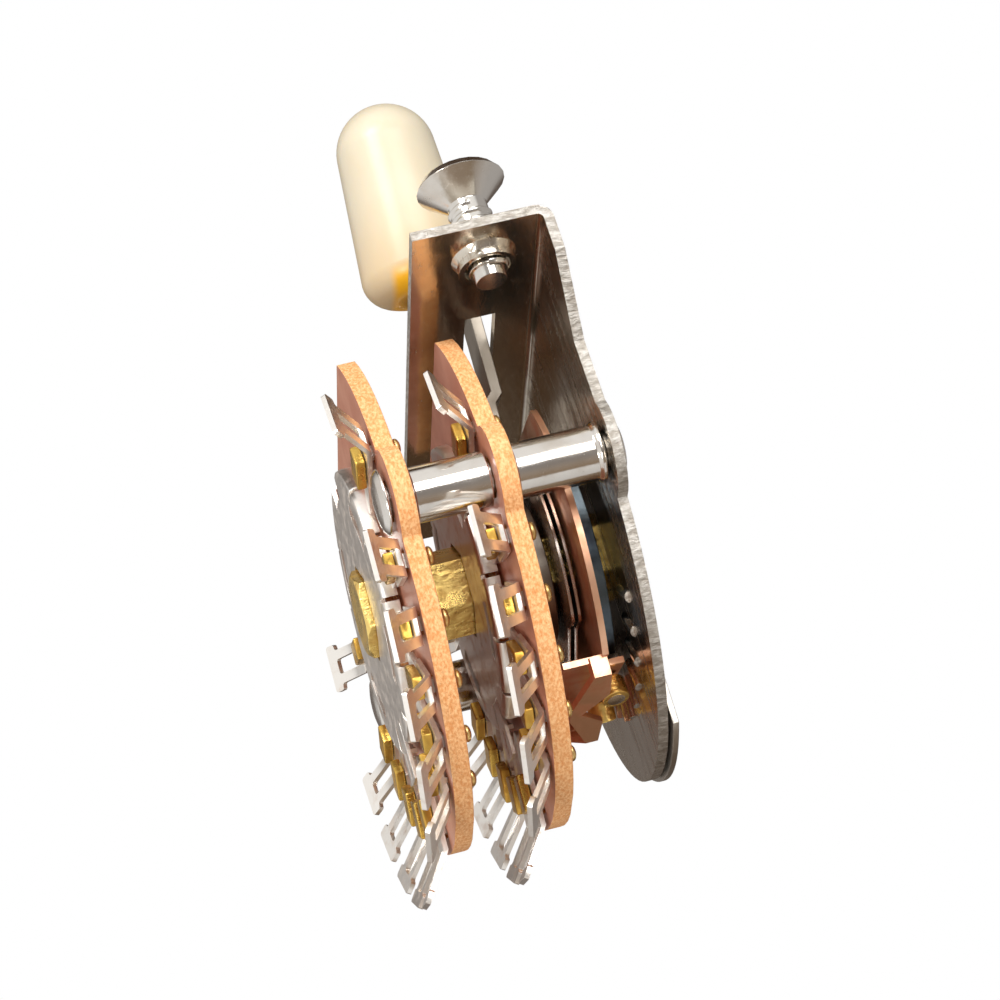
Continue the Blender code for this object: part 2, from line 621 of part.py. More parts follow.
def sector(inner, outer, middle, spread, steps):
    """Outline of a piece of a ring, given by two radii, its middle angle and its spread."""
    start, end = middle - spread / 2, middle + spread / 2
    return arc(0.0, 0.0, outer, start, end, steps) + arc(0.0, 0.0, inner, end, start, steps)


def contact_cuts(foot_y):
    """Notches at the top and the bottom, four windows, and the slits that part the rim."""
    middle = foot_y - CONTACT_DEPTH / 2
    through = 2 * CONTACT_DEPTH
    beyond = CONTACT_RADIUS + CONTACT_SHEET
    window = CONTACT_RADIUS - CONTACT_WINDOW_INSIDE_RIM
    outlines = [hexagon(HUB_HOLE_FLATS)]
    outlines += [sector(CONTACT_RADIUS - CONTACT_NOTCH_DEPTH, beyond, angle, CONTACT_SPLIT_ANGLE, 3)
                 for angle in (90.0, -90.0)]
    outlines += [sector(window - CONTACT_WINDOW_WIDTH, window, angle, CONTACT_WINDOW_SPREAD, 4)
                 for angle in CONTACT_WINDOW_ANGLES]
    slit = math.degrees(CONTACT_SLIT_WIDTH / CONTACT_RADIUS)
    outlines += [sector(CONTACT_RADIUS - CONTACT_SLIT_DEPTH, beyond, angle, slit, 1)
                 for angle in CONTACT_SLIT_ANGLES]
    return [plate_mesh("contact_cut", outline, through, middle) for outline in outlines]


def make_contact(axis, name, foot_y):
    """Dished contact of silver-plated sheet: its slit rim turns back towards the wafer."""
    depth, sheet, edge = CONTACT_DEPTH, CONTACT_SHEET, CONTACT_EDGE_RADIUS
    outer = CONTACT_RADIUS
    bend = [(outer - edge + x, -depth + edge + y) for x, y in arc(0.0, 0.0, edge, 0.0, -90.0, 2)]
    profile = [(0.0, sheet - depth), (outer - sheet, sheet - depth), (outer - sheet, 0.0), (outer, 0.0),
               *bend, (0.0, -depth)]
    dish = turned_mesh(name, profile, CIRCLE_STEPS, along_y(0.0, foot_y, 0.0))
    dish = combined(dish, "DIFFERENCE", contact_cuts(foot_y))
    root = outer - CONTACT_NOTCH_DEPTH - sheet
    end = outer + TONGUE_BEYOND_RIM
    slot = sector(outer, end - sheet, -90.0, math.degrees(TONGUE_SLOT_WIDTH / outer), 1)
    tongue = plate_mesh("tongue", sector(root, end, -90.0, TONGUE_ANGLE, 3), sheet - TONGUE_THINNED,
                        foot_y - depth + sheet / 2, [slot])
    contact = add_object(name, combined(dish, "UNION", [tongue]), silver())
    contact.parent = axis
    smooth(contact)


def make_rivet_sets():
    """Two rivets through both wafers and the wall, each with its two spacer tubes."""
    bore = RIVET_RADIUS + PIN_GAP
    for side, x in (("near", RIVET_X), ("far", -RIVET_X)):
        back = WALL_BACK_Y + SEAT_GAP
        front = FRONT_WAFER_FRONT_Y - SEAT_GAP
        length = back - front
        foot = length + RIVET_FOOT_HEIGHT
        profile = [(0.0, foot), (RIVET_FOOT_RADIUS * 0.8, foot), (RIVET_FOOT_RADIUS, length),
                   (RIVET_RADIUS, length), (RIVET_RADIUS, 0.0), (RIVET_HEAD_RADIUS, 0.0),
                   (RIVET_HEAD_RADIUS * 0.85, -RIVET_HEAD_HEIGHT * 0.6), (0.0, -RIVET_HEAD_HEIGHT)]
        rivet = turned_mesh(f"rivet_{side}", profile, 24, along_y(x, front, SHAFT_Z))
        smooth(add_object(f"rivet_{side}", rivet, nickel()))

        rear_length = REAR_SPACE - 2 * SEAT_GAP
        shoulder = rear_length - TUBE_COLLAR_LENGTH
        rear = [(bore, rear_length), (TUBE_COLLAR_RADIUS, rear_length), (TUBE_COLLAR_RADIUS, shoulder),
                (TUBE_RADIUS, shoulder), (TUBE_RADIUS, 0.0), (bore, 0.0), (bore, rear_length)]
        mesh = turned_mesh(f"tube_rear_{side}", rear, 28, along_y(x, REAR_WAFER_BACK_Y + SEAT_GAP, SHAFT_Z))
        smooth(add_object(f"tube_rear_{side}", mesh, nickel()))

        mid_length = MID_SPACE - 2 * SEAT_GAP
        mid = [(bore, mid_length), (TUBE_RADIUS, mid_length), (TUBE_RADIUS, 0.0), (bore, 0.0),
               (bore, mid_length)]
        mesh = turned_mesh(f"tube_mid_{side}", mid, 28, along_y(x, FRONT_WAFER_BACK_Y + SEAT_GAP, SHAFT_Z))
        smooth(add_object(f"tube_mid_{side}", mesh, nickel()))


def make_shaft(axis):
    """Hexagonal brass shaft with chamfered ends and a groove for the retaining clip."""
    length = SHAFT_BACK_Y - SHAFT_FRONT_Y
    mesh = plate_mesh("shaft", hexagon(SHAFT_FLATS), length, (SHAFT_BACK_Y + SHAFT_FRONT_Y) / 2)
    flat_radius = SHAFT_FLATS / 2
    outer = SHAFT_CORNER_RADIUS + 1 * MM
    groove = CLIP_SHEET / 2 + SEAT_GAP
    neck = SHAFT_FLATS / 2 - 0.5 * MM
    clip = CLIP_Y - SHAFT_FRONT_Y
    profile = [(0.0, length), (flat_radius, length), (SHAFT_CORNER_RADIUS, length - SHAFT_CHAMFER),
               (SHAFT_CORNER_RADIUS, clip + groove), (neck, clip + groove), (neck, clip - groove),
               (outer, clip - groove), (outer, SHAFT_CHAMFER + 1 * MM),
               (SHAFT_CORNER_RADIUS, SHAFT_CHAMFER), (flat_radius, 0.0), (0.0, 0.0)]
    envelope = turned_mesh("turned_limit", profile, 24, along_y(0.0, SHAFT_FRONT_Y, 0.0))
    shaft = add_object("shaft", combined(mesh, "INTERSECT", [envelope]), brass())
    shaft.parent = axis
    smooth(shaft, 20.0)


def ribbon_mesh(name, path, width, thickness):
    """A bent strip: a path in (Y, Z) swept along X, then thickened."""
    mesh = bpy.data.meshes.new(name)

    def build(bm):
        verts = [bm.verts.new((-width / 2, y, z)) for y, z in path]
        edges = [bm.edges.new(pair) for pair in zip(verts, verts[1:])]
        swept = bmesh.ops.extrude_edge_only(bm, edges=edges)["geom"]
        moved = [item for item in swept if isinstance(item, bmesh.types.BMVert)]
        bmesh.ops.translate(bm, verts=moved, vec=(width, 0.0, 0.0))

    edit_mesh(mesh, build)
    strip = bpy.data.objects.new(name + "_strip", mesh)
    bpy.data.collections["cutters"].objects.link(strip)
    thicken = strip.modifiers.new("sheet", "SOLIDIFY")
    thicken.thickness = thickness
    thicken.offset = 0.0
    thicken.use_even_offset = True
    bpy.context.view_layer.update()
    evaluated = strip.evaluated_get(bpy.context.evaluated_depsgraph_get())
    solid = bpy.data.meshes.new_from_object(evaluated)
    bpy.data.objects.remove(strip)
    edit_mesh(solid, lambda bm: None)
    return solid


def make_lever(axis):
    """Stamped lever: a hub on the shaft, a neck that steps back to the slot, and the blade."""
    hub_outline = arc(0.0, 0.0, LEVER_HUB_RADIUS, 0.0, 360.0, CIRCLE_STEPS)[:-1]
    hub = plate_mesh("lever", hub_outline, LEVER_SHEET, LEVER_HUB_Y, [hexagon(HUB_HOLE_FLATS)])
    step = LEVER_NECK_Y - LEVER_HUB_Y
    path = [(LEVER_HUB_Y, LEVER_HUB_RADIUS - LEVER_SHEET), (LEVER_HUB_Y, LOWER_JOG_R - step),
            (LEVER_NECK_Y, LOWER_JOG_R), (LEVER_NECK_Y, UPPER_JOG_R),
            (LEVER_TIP_Y, UPPER_JOG_R + UPPER_JOG_HEIGHT), (LEVER_TIP_Y, BLADE_END_R)]
    neck = ribbon_mesh("neck", path, LEVER_WIDTH, LEVER_SHEET)
    lever = add_object("lever", combined(hub, "UNION", [neck]), nickel())
    lever.parent = axis
    smooth(lever, 30.0)


def tip_profile():
    """Half section of the tip from its top down: dome, tapered side and rounded foot."""
    bottom = TIP_BOTTOM_R
    top = bottom + TIP_LENGTH
    dome = TIP_TOP_RADIUS
    points = [(dome * math.sin(math.radians(a)), top - dome + dome * math.cos(math.radians(a)))
              for a in (0, 13, 26, 39, 52, 65, 77, 87)]
    points[0] = (0.0, top)
    foot = TIP_EDGE_RADIUS
    side = TIP_BOTTOM_RADIUS - foot
    points += [(side + foot * math.cos(math.radians(a)), bottom + foot - foot * math.sin(math.radians(a)))
               for a in (0, 22, 45, 68, 90)]
    return points + [(0.0, bottom)]


def make_tip(axis):
    """Moulded tip with a socket that the lever's blade fills."""
    mesh = turned_mesh("switch_tip", tip_profile(), 32, Matrix.Translation((0.0, LEVER_TIP_Y, 0.0)))
    half_x = LEVER_WIDTH / 2 + SEAT_GAP
    half_y = LEVER_SHEET / 2 + SEAT_GAP
    top = BLADE_END_R + SEAT_GAP
    under = TIP_BOTTOM_R - TIP_MOUTH_DEPTH
    socket = box_mesh("socket", (-half_x, half_x), (LEVER_TIP_Y - half_y, LEVER_TIP_Y + half_y), (under, top))
    wide_x, wide_y = half_x + TIP_MOUTH_SPREAD, half_y + TIP_MOUTH_SPREAD
    mouth_span = (LEVER_TIP_Y - wide_y, LEVER_TIP_Y + wide_y)
    mouth = box_mesh("mouth", (-wide_x, wide_x), mouth_span, (under, TIP_BOTTOM_R + TIP_MOUTH_DEPTH))
    tip = add_object("switch_tip", combined(mesh, "DIFFERENCE", [socket, mouth]), ivory())
    tip.parent = axis
    smooth(tip)


def make_collar(axis):
    """Grooved brass collar between the rear rotor and the lever's hub."""
    low = COLLAR_RADIUS - COLLAR_GROOVE
    bands = 1
    pitch = COLLAR_LENGTH / (2 * bands + 1)
    profile = [(0.0, COLLAR_LENGTH)]
    for i in range(2 * bands + 1, 0, -1):
        radius = COLLAR_RADIUS if i % 2 else low
        profile += [(radius, i * pitch), (radius, (i - 1) * pitch)]
    profile.append((0.0, 0.0))
    mesh = turned_mesh("shaft_collar", profile, 24, along_y(0.0, COLLAR_FRONT_Y, 0.0))
    hole = plate_mesh("hex_hole", hexagon(HUB_HOLE_FLATS), 3 * COLLAR_LENGTH, COLLAR_FRONT_Y)
    collar = add_object("shaft_collar", combined(mesh, "DIFFERENCE", [hole]), brass())
    collar.parent = axis
    smooth(collar)


def make_springs(axis):
    """Two leaf springs on the shaft, one behind the other, whose feet are set forward."""
    for name, y in (("leaf_spring_front", FRONT_SPRING_Y), ("leaf_spring_rear", REAR_SPRING_Y)):
        disc = arc(0.0, 0.0, SPRING_RADIUS, 0.0, 360.0, CIRCLE_STEPS)[:-1]
        body = plate_mesh(name, disc, SPRING_SHEET, y, [hexagon(HUB_HOLE_FLATS)])
        below_fold = box_mesh("below_fold", (-SPRING_RADIUS, SPRING_RADIUS), (0.0, WALL_FRONT_Y),
                              (-2 * SPRING_RADIUS, SPRING_FOLD_Z - SPRING_SHEET))
        body = combined(body, "DIFFERENCE", [below_fold])
        foot = ribbon_mesh("foot", [(y, SPRING_FOLD_Z), (y - SPRING_FOOT_SET, SPRING_FOOT_Z)],
                           SPRING_WIDTH, SPRING_SHEET)
        spring = add_object(name, combined(body, "UNION", [foot]), nickel())
        spring.parent = axis


def yoke_outline():
    """The yoke in XZ: legs down from the fold's ends, and two flats that are square to the rollers."""
    slope = math.tan(math.radians(ROLLER_ANGLE))
    corner_z = -YOKE_R / math.cos(math.radians(ROLLER_ANGLE))
    half_sheet = CARRIER_SHEET / 2
    half_depth = half_sheet / math.cos(math.radians(ROLLER_ANGLE))
    top_z = CARRIER_FOLD_Z + CARRIER_SHEET * 3 / 4
    outer, inner = FOLD_HALF_LENGTH + half_sheet, FOLD_HALF_LENGTH - half_sheet
    lower_z, upper_z = corner_z - half_depth, corner_z + half_depth
    half = [(0.0, lower_z), (outer, lower_z + outer * slope), (outer, top_z), (inner, top_z),
            (inner, upper_z + inner * slope), (0.0, upper_z)]
    return half + [(-x, z) for x, z in reversed(half[1:-1])]


def yoke_reach():
    """The yoke seen along Z: its front edge comes to a blunt point below each roller."""
    roller_x = YOKE_R * math.sin(math.radians(ROLLER_ANGLE))
    back = CARRIER_Y + CARRIER_SHEET / 4
    end_front = CARRIER_Y - YOKE_END_FRONT
    front = CARRIER_Y - YOKE_FRONT
    half = [(0.0, CARRIER_Y - YOKE_MIDDLE_FRONT), (roller_x - 0.6 * MM, front), (roller_x + 0.6 * MM, front),
            (FOLD_HALF_LENGTH + SHEET, end_front), (FOLD_HALF_LENGTH + SHEET, back),
            (roller_x + YOKE_NOTCH_REACH, back), (0.0, CARRIER_Y - YOKE_MIDDLE_BACK)]
    return half + [(-x, y) for x, y in reversed(half[1:-1])]


def carrier_outline():
    """Carrier plate: a disc with a flat top and a flat foot where the flange folds."""
    top = math.degrees(math.asin(CARRIER_TOP_Z / CARRIER_RADIUS))
    foot = math.degrees(math.asin((CARRIER_FOLD_Z + CARRIER_SHEET / 2) / CARRIER_RADIUS))
    return mirrored(arc(0.0, 0.0, CARRIER_RADIUS, top, foot, 20))


def make_carrier(axis):
    """Bronze roller carrier: the plate, its folded flange, the shelf for the pins and the yoke."""
    hole = arc(0.0, 0.0, COLLAR_RADIUS, 0.0, 360.0, 24)[:-1]
    plate = plate_mesh("roller_carrier", carrier_outline(), CARRIER_SHEET, CARRIER_Y, [hole])
    fold_span = (CARRIER_FOLD_Z, CARRIER_FOLD_Z + CARRIER_SHEET)
    front_y = CARRIER_Y - CARRIER_SHEET / 2
    flange = box_mesh("flange", (-FOLD_HALF_LENGTH, FOLD_HALF_LENGTH), (front_y - CARRIER_FLANGE_Y, CARRIER_Y), fold_span)
    shelf_back = ROLLER_Y + ROLLER_PIN_RADIUS + PIN_GAP + SHELF_RIM
    shelf = box_mesh("shelf", (-SHELF_HALF_LENGTH, SHELF_HALF_LENGTH), (CARRIER_Y, shelf_back), fold_span)
    reach = plate_mesh("yoke_reach", yoke_reach(), CARRIER_RADIUS, 0.0)
    reach.transform(Matrix.Translation((0.0, 0.0, CARRIER_FOLD_Z)) @ Matrix.Rotation(-math.pi / 2, 4, "X"))
    edit_mesh(reach, lambda bm: None)
    yoke = plate_mesh("yoke", yoke_outline(), 2 * CARRIER_RADIUS, 0.0)
    yoke = combined(yoke, "INTERSECT", [reach])
    mesh = combined(plate, "UNION", [flange, shelf, yoke])
    holes = []
    for direction in roller_directions():
        middle = Vector((0.0, ROLLER_Y, 0.0))
        start = middle + direction * (ROLLER_PIN_INNER_R - RUN_GAP)
        shoulder = middle + direction * (ROLLER_INNER_R - RUN_GAP)
        end = middle + direction * (ROLLER_OUTER_R + RUN_GAP)
        holes.append(rod_mesh("pin_hole", ROLLER_PIN_RADIUS + PIN_GAP, start, shoulder, 16))
        holes.append(rod_mesh("roller_room", ROLLER_RADIUS + RUN_GAP, shoulder, end, 20))
        above, below = (middle + direction * (YOKE_R + side * 3 * CARRIER_SHEET) for side in (-1, 1))
        holes.append(rod_mesh("yoke_notch", YOKE_NOTCH_REACH, above, below, 4))
    carrier = add_object("roller_carrier", combined(mesh, "DIFFERENCE", holes), bronze())
    carrier.parent = axis
    smooth(carrier, 25.0)


def roller_directions():
    """Unit vectors along the two rollers' axes, in the lever's own frame."""
    return [Vector((side * math.sin(math.radians(ROLLER_ANGLE)), 0.0, -math.cos(math.radians(ROLLER_ANGLE))))
            for side in (1.0, -1.0)]


def make_rollers(axis):
    """Brass rollers, each turning on its own radial axis under the lever's axis."""
    for name, direction in zip(("roller_near", "roller_far"), roller_directions()):
        pivot = bpy.data.objects.new(name + "_axis", None)
        pivot.empty_display_size = 2 * MM
        bpy.data.collections["pickup_selector_switch"].objects.link(pivot)
        pivot.parent = axis
        pivot.location = (0.0, ROLLER_Y, 0.0)
        pivot.rotation_euler = direction.to_track_quat("Z", "Y").to_euler()
        profile = [(0.0, ROLLER_OUTER_R), (ROLLER_RADIUS, ROLLER_OUTER_R),
                   (ROLLER_RADIUS, ROLLER_INNER_R), (ROLLER_PIN_RADIUS, ROLLER_INNER_R),
                   (ROLLER_PIN_RADIUS, ROLLER_PIN_INNER_R), (0.0, ROLLER_PIN_INNER_R)]
        roller = add_object(name, turned_mesh(name, profile, 20, Matrix.Identity(4)), brass())
        roller.parent = pivot
        smooth(roller)


def make_washer(axis):
    """Blued washer between the carrier and the wall, cut flat where the rollers run."""
    disc = arc(0.0, 0.0, WASHER_RADIUS, 0.0, 360.0, CIRCLE_STEPS)[:-1]
    mesh = plate_mesh("index_washer", disc, WASHER_THICKNESS, WASHER_Y, [hexagon(HUB_HOLE_FLATS)])
    flat = box_mesh("roller_room", (-WASHER_RADIUS, WASHER_RADIUS), (0.0, WALL_FRONT_Y),
                    (-2 * WASHER_RADIUS, CARRIER_FOLD_Z + CARRIER_SHEET + 2 * RUN_GAP))
    washer = add_object("index_washer", combined(mesh, "DIFFERENCE", [flat]), blued_steel())
    washer.parent = axis
    smooth(washer)


def make_rear_plate(axis):
    """Counter plate behind the wall: a hub and a wide rounded foot."""
    drop = REAR_PLATE_HUB_DROP
    hub = arc(0.0, 0.0, REAR_PLATE_HUB_RADIUS, -drop, 180.0 + drop, 26)
    foot = arc(0.0, 0.0, REAR_PLATE_RADIUS, -90.0 - REAR_PLATE_SPREAD, -90.0 + REAR_PLATE_SPREAD, 18)
    mesh = plate_mesh("rear_plate", hub + foot, REAR_PLATE_SHEET, REAR_PLATE_Y, [hexagon(HUB_HOLE_FLATS)])
    plate = add_object("rear_plate", mesh, nickel())
    plate.parent = axis


def make_clip(axis):
    """Open retaining clip that snaps into the shaft's groove behind the rear plate."""
    neck = SHAFT_FLATS / 2 - 0.5 * MM + SEAT_GAP
    outline = arc(0.0, 0.0, CLIP_RADIUS, -60.0, 240.0, 30) + arc(0.0, 0.0, neck, 240.0, -60.0, 24)
    mesh = plate_mesh("retaining_clip", outline, CLIP_SHEET, CLIP_Y)
    clip = add_object("retaining_clip", mesh, blued_steel())
    clip.parent = axis


def build_switch():
    start_empty_scene()
    axis = lever_axis()
    make_bracket()
    make_screw("screw_near", SCREW_SPACING / 2)
    make_screw("screw_far", -SCREW_SPACING / 2)
    for wafer, back_y in (("front", FRONT_WAFER_BACK_Y), ("rear", REAR_WAFER_BACK_Y)):
        make_wafer(f"wafer_{wafer}", back_y)
        make_terminals(wafer, back_y - WAFER_THICKNESS)
        contact_foot = make_rotor(axis, f"rotor_{wafer}", back_y)
        make_contact(axis, f"rotor_contact_{wafer}", contact_foot)
    make_rivet_sets()
    make_shaft(axis)
    make_lever(axis)
    make_tip(axis)
    make_collar(axis)
    make_springs(axis)
    make_carrier(axis)
    make_rollers(axis)
    make_washer(axis)
    make_rear_plate(axis)
    make_clip(axis)


build_switch()
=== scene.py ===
"""Looks of the five-position selector switch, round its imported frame. Lengths are in metres."""
import math

import bmesh
import bpy
from mathutils import Matrix, Vector


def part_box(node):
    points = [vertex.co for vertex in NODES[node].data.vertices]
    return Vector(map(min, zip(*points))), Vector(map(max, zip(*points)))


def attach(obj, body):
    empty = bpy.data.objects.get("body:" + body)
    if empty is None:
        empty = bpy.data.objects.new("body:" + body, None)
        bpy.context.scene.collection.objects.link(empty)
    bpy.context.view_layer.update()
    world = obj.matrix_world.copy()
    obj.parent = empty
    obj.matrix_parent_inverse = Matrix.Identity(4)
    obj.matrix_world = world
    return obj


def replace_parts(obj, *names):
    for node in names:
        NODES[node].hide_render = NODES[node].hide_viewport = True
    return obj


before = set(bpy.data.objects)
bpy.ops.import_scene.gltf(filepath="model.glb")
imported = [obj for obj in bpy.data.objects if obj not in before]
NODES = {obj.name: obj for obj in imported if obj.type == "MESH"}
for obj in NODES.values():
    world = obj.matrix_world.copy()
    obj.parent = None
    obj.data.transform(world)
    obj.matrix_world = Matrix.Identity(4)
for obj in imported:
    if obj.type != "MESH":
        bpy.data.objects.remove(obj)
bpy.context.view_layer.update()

MM = 0.001
FIXED = "frame"
SWINGING = "lever_assembly"

# The shaft's axis runs along Y through here
SHAFT_Z = -18.2 * MM
# In degrees: how far the lever leans at rest, and how far each roller stands from the lever's line
REST_LEAN = 12.5
ROLLER_ANGLE = 18.75
# The rollers' axes lie across the shaft at this height along Y
ROLLER_Y = 6.3 * MM
# In degrees from +X towards +Z
TERMINAL_ANGLES = [15.0, -15.0, -30.0, -45.0, -60.0, -75.0]
TERMINAL_ANGLES += [180.0 - angle for angle in TERMINAL_ANGLES]

# Corners nearer than this are one corner, and triangles that bend by fewer degrees are one face
WELD_DISTANCE = 1e-6
FLAT_ANGLE = 0.6
# A spun shape's own seam is closed at this distance
SEAM_DISTANCE = 1e-7
# Edges that bend by more degrees are drawn sharp
PRESSED_SHARP = 26.0
TURNED_SHARP = 50.0
SOCKET_SHARP = 40.0
BEAD_SHARP = 60.0
# How much a large face counts over a small one in the normals
LARGE_FACE_WEIGHT = 80
# The lamps point here
LAMP_AIM = (0.0, 0.0, -12.0 * MM)


class Socket:
    """A value in a material, so that sums of masks read as sums."""

    def __init__(self, look, output):
        self.look = look
        self.output = output

    def maths(self, operation, *others):
        return self.look.node("ShaderNodeMath", {"operation": operation}, [self, *others])

    def __add__(self, other):
        return self.maths("ADD", other)

    __radd__ = __add__

    def __sub__(self, other):
        return self.maths("SUBTRACT", other)

    def __rsub__(self, other):
        return self.look.node("ShaderNodeMath", {"operation": "SUBTRACT"}, [other, self])

    def __mul__(self, other):
        return self.maths("MULTIPLY", other)

    def __abs__(self):
        return self.maths("ABSOLUTE")

    def above(self, low, high):
        """0 below low, 1 above high, and smooth between."""
        return self.look.node("ShaderNodeMapRange", {"interpolation_type": "SMOOTHSTEP"},
                              {"Value": self, "From Min": low, "From Max": high})

    def larger(self, other):
        return self.maths("MAXIMUM", other)


class Look:
    """A material or a world whose nodes are made one call at a time."""

    def __init__(self, owner):
        owner.use_nodes = True
        self.owner = owner
        self.tree = owner.node_tree

    def node(self, kind, settings=None, inputs=None, output=0):
        made = self.tree.nodes.new(kind)
        for name, value in (settings or {}).items():
            setattr(made, name, value)
        pairs = enumerate(inputs) if isinstance(inputs, list) else (inputs or {}).items()
        for key, value in pairs:
            self.feed(made.inputs[key], value)
        return Socket(self, made.outputs[output])

    def feed(self, socket, value):
        if isinstance(value, Socket):
            self.tree.links.new(value.output, socket)
        else:
            socket.default_value = value

    def place(self, scale=(1.0, 1.0, 1.0)):
        """Object coordinates in millimetres, stretched by a scale."""
        point = self.node("ShaderNodeTexCoord", output="Object")
        return self.node("ShaderNodeMapping", None, {"Vector": point, "Scale": [s / MM for s in scale]})

    def axes(self, vector):
        split = self.node("ShaderNodeSeparateXYZ", None, {"Vector": vector})
        return [Socket(self, split.output.node.outputs[i]) for i in range(3)]

    def facing(self):
        """The surface's direction along each of the object's axes."""
        return self.axes(self.node("ShaderNodeTexCoord", output="Normal"))

    def noise(self, size_mm, stretch=(1.0, 1.0, 1.0), detail=3.0, roughness=0.55):
        spot = self.place([s / size_mm for s in stretch])
        return self.node("ShaderNodeTexNoise", None,
                         {"Vector": spot, "Scale": 1.0, "Detail": detail, "Roughness": roughness}, "Fac")

    def mix(self, factor, low, high):
        """The colour low where the factor is 0, and the colour high where it is 1."""
        made = self.tree.nodes.new("ShaderNodeMix")
        made.data_type = "RGBA"
        first_colour, second_colour, mixed_colour = 6, 7, 2
        self.feed(made.inputs["Factor"], factor)
        self.feed(made.inputs[first_colour], low if isinstance(low, Socket) else (*low, 1.0))
        self.feed(made.inputs[second_colour], high if isinstance(high, Socket) else (*high, 1.0))
        return Socket(self, made.outputs[mixed_colour])

    def bump(self, height, distance_mm, strength=1.0, normal=None):
        inputs = {"Height": height, "Distance": distance_mm * MM, "Strength": strength}
        if normal:
            inputs["Normal"] = normal
        return self.node("ShaderNodeBump", None, inputs)

    def shade(self, **inputs):
        """Set the Principled shader's sockets, named with _ for a space."""
        shader = self.tree.nodes["Principled BSDF"]
        for name, value in inputs.items():
            socket = shader.inputs[name.replace("_", " ")]
            self.feed(socket, (*value, 1.0) if socket.type == "RGBA" and isinstance(value, tuple) else value)
        return self.owner


def new_look(name):
    return Look(bpy.data.materials.new(name))


def nickel_plate(name, tint=(0.74, 0.71, 0.66), stain=(0.46, 0.37, 0.28), polish=0.16, grain=(1.0, 1.0, 1.0)):
    """Bright nickel over pressed steel: faint stains, rolling marks and pits."""
    look = new_look(name)
    stains = look.noise(5.0).above(0.42, 0.72)
    marks = look.noise(0.5, grain, 4.0)
    pits = look.noise(0.16, detail=2.0).above(0.66, 0.8)
    colour = look.mix(stains * 0.55 + pits * 0.4, tint, stain)
    rough = polish + stains * 0.10 + marks.above(0.5, 0.8) * 0.12 + pits * 0.2
    relief = look.bump(marks, 0.012, 0.5, look.bump(look.noise(3.0), 0.05, 0.35))
    return look.shade(Base_Color=colour, Metallic=1.0, Roughness=rough, Normal=relief)


def bracket_plate():
    """The bracket's nickel, with rough torn metal on the sheet's cut edges."""
    look = new_look("bracket_nickel")
    x, y, z = look.axes(look.place())
    across, along, up = look.facing()
    # In millimetres. Faces that look up or down count as cut well below the fold, and faces that look
    # along Y count as cut on the flange's front edge
    full_below, none_above = -2.4, -2.0
    full_before, none_behind = -2.15, -2.05
    under_fold = 1.0 - z.above(full_below, none_above)
    at_front = 1.0 - y.above(full_before, none_behind)
    cut = abs(across).larger(abs(up) * under_fold).larger(abs(along) * at_front).above(0.55, 0.75)
    low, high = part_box("screw_near")
    from_screw_x = abs(x) - abs(low[0] + high[0]) / 2 / MM
    from_screw_y = y - (low[1] + high[1]) / 2 / MM
    # Squares of the distance from a screw's axis, in square millimetres
    boss_square, clear_square = 12.0, 14.0
    off_boss = (from_screw_x * from_screw_x + from_screw_y * from_screw_y).above(boss_square, clear_square)
    cut = cut * off_boss
    stains = look.noise(6.0).above(0.40, 0.72)
    marks = look.noise(0.45, (0.35, 1.0, 1.0), 4.0)
    pits = look.noise(0.14, detail=2.0).above(0.66, 0.78)
    torn = look.noise(0.32, (1.0, 0.35, 1.0), 5.0, 0.7)
    streaks = look.noise(0.7, (1.0, 1.0, 0.07), 4.0, 0.6).above(0.48, 0.66) * (1.0 - abs(up))
    face = look.mix(stains * 0.6 + pits * 0.4, (0.74, 0.69, 0.60), (0.46, 0.36, 0.26))
    face = look.mix(streaks * 0.55, face, (0.30, 0.23, 0.16))
    sheared = look.mix(torn.above(0.42, 0.62), (0.40, 0.36, 0.31), (0.66, 0.63, 0.58))
    colour = look.mix(cut, face, sheared)
    rough = 0.15 + stains * 0.08 + marks.above(0.5, 0.8) * 0.1 + pits * 0.2 + streaks * 0.12 + cut * 0.14
    relief = look.bump(marks + streaks * 0.6, 0.02, 0.6, look.bump(torn * cut, 0.2, 0.9))
    return look.shade(Base_Color=colour, Metallic=1.0, Roughness=rough, Normal=relief)


def turned_brass(name, tint=(1.0, 0.74, 0.25), dented=0.3):
    """Bare brass with tarnish, small dents and drawn marks along the bar."""
    look = new_look(name)
    drawn = look.noise(0.9, (1.0, 0.28, 1.0), 4.0)
    dents = look.noise(0.7, (1.0, 0.6, 1.0), 3.0)
    tarnish = look.noise(1.6).above(0.44, 0.7)
    colour = look.mix(tarnish * 0.45, tint, (0.66, 0.32, 0.05))
    rough = 0.27 + tarnish * 0.13 + drawn.above(0.5, 0.8) * 0.15
    relief = look.bump(dents, 0.16, dented, look.bump(drawn, 0.05, 0.7))
    return look.shade(Base_Color=colour, Metallic=1.0, Roughness=rough, Normal=relief)


def pressed_bronze():
    look = new_look("pressed_bronze")
    bloom = look.noise(2.2).above(0.42, 0.7)
    marks = look.noise(0.3, (0.4, 1.0, 1.0), 4.0)
    colour = look.mix(bloom * 0.5, (1.0, 0.62, 0.42), (0.84, 0.36, 0.19))
    rough = 0.36 + bloom * 0.1 + marks.above(0.5, 0.8) * 0.12
    return look.shade(Base_Color=colour, Metallic=1.0, Roughness=rough, Normal=look.bump(marks, 0.015, 0.6))


